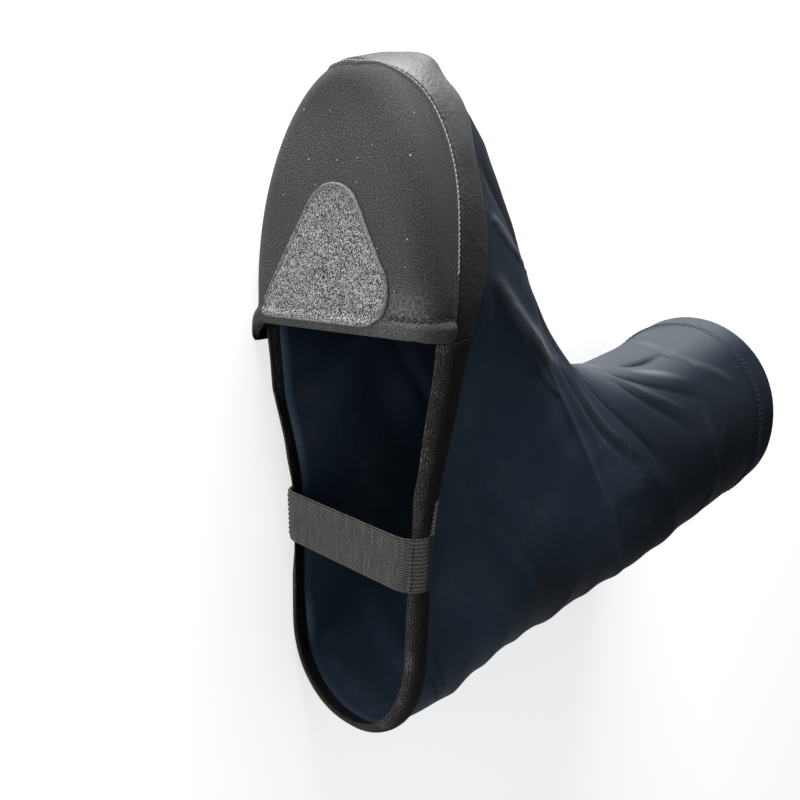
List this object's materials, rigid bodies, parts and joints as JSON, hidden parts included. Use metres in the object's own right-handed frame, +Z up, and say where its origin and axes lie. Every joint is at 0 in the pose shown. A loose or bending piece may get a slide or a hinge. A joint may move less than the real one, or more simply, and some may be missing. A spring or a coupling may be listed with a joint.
{
  "type": "rain overshoe",
  "caption": "Slip-over rain cover for a walking boot: tall coated-cloth upper, toe rand, knit half sole with grip patch, banded open heel and elastic arch strap, lying on its side.",
  "frame": {"origin": "floor under the middle of the lying overshoe's box", "axes": "+X from the toe to the heel, +Y from the sole towards the collar, +Z up from the inner side that lies on the floor to the outer side"},
  "size_m": [0.317, 0.343, 0.1199],
  "materials": {
    "coated_cloth": "navy coated nylon, satin",
    "rand_skin": "smooth black synthetic leather, satin",
    "sole_knit": "charcoal knit-faced foam rubber, matt",
    "grit": "gritty grey non-slip sheet",
    "stretch_band": "black brushed stretch knit",
    "elastic_web": "dark grey ribbed elastic webbing"
  },
  "bodies": {
    "root": {"upper": "coated_cloth", "toe_rand": "rand_skin", "half_sole": "sole_knit", "grip_patch": "grit", "edge_band": "stretch_band", "arch_strap": "elastic_web"}
  },
  "joints": []
}
